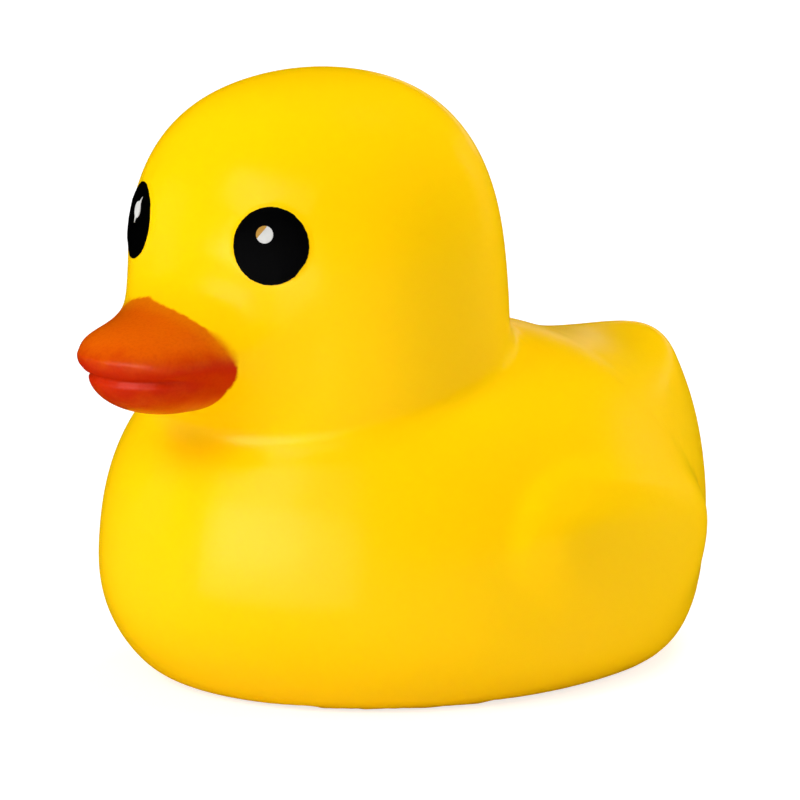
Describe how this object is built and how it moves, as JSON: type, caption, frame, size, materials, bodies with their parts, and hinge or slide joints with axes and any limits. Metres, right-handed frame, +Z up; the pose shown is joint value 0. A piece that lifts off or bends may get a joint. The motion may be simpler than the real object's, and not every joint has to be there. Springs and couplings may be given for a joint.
{
  "type": "toy duck",
  "caption": "Soft one-piece toy duck that sits on a flat base, with a domed head, parted bill, low wings and an upturned tail, made to be squeezed and to float.",
  "frame": {"origin": "on the flat base, in the plane of symmetry, under the neck", "axes": "+Z up from the base, -Y the way the duck looks, +X to the duck's left"},
  "size_m": [0.0666, 0.0989, 0.0722],
  "materials": {
    "vinyl": "satin soft vinyl, with printed black eyes and a sprayed orange bill"
  },
  "bodies": {
    "root": {"duck_body": "vinyl"}
  },
  "joints": []
}
